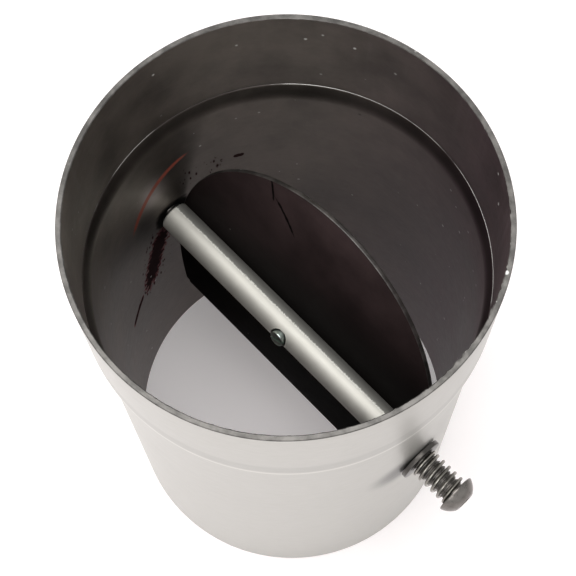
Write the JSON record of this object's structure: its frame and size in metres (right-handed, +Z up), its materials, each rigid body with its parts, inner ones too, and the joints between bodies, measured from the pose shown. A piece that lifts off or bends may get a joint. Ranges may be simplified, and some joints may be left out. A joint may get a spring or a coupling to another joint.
{
  "type": "volume control damper",
  "caption": "Round duct section with a swaged socket and a butterfly blade on a cross shaft, held at any angle by a spring-loaded screw and turned by a coil-grip lever.",
  "frame": {"origin": "on the duct's centre line at the lower rim", "axes": "+Z up the duct from the spigot end to the socket end; X along the damper shaft, with the friction screw at +X and the handle at -X"},
  "size_m": [0.2124, 0.159, 0.25],
  "materials": {
    "pipe_steel": "satin mild steel, pale outside and dark oiled inside",
    "blade_steel": "dark oiled sheet steel",
    "bright_steel": "bright drawn bar",
    "zinc_steel": "zinc plated",
    "dark_steel": "black oxide, slightly worn",
    "spring_steel": "dark spring wire"
  },
  "bodies": {
    "duct": {"flue_pipe": "pipe_steel"},
    "damper": {"damper_shaft": "bright_steel", "damper_blade": "blade_steel", "blade_screw": "zinc_steel", "blade_nut": "zinc_steel", "friction_washer": "dark_steel", "friction_spring": "spring_steel", "friction_screw": "dark_steel", "handle_rod": "dark_steel", "grip_washer": "dark_steel", "grip_coil": "spring_steel", "grip_cap_nut": "dark_steel"}
  },
  "joints": [
    {"name": "damper_turn", "type": "hinge", "parent": "duct", "child": "damper", "pos_m": [0, 0, 0.125], "axis": [1, 0, 0], "continuous": true}
  ]
}
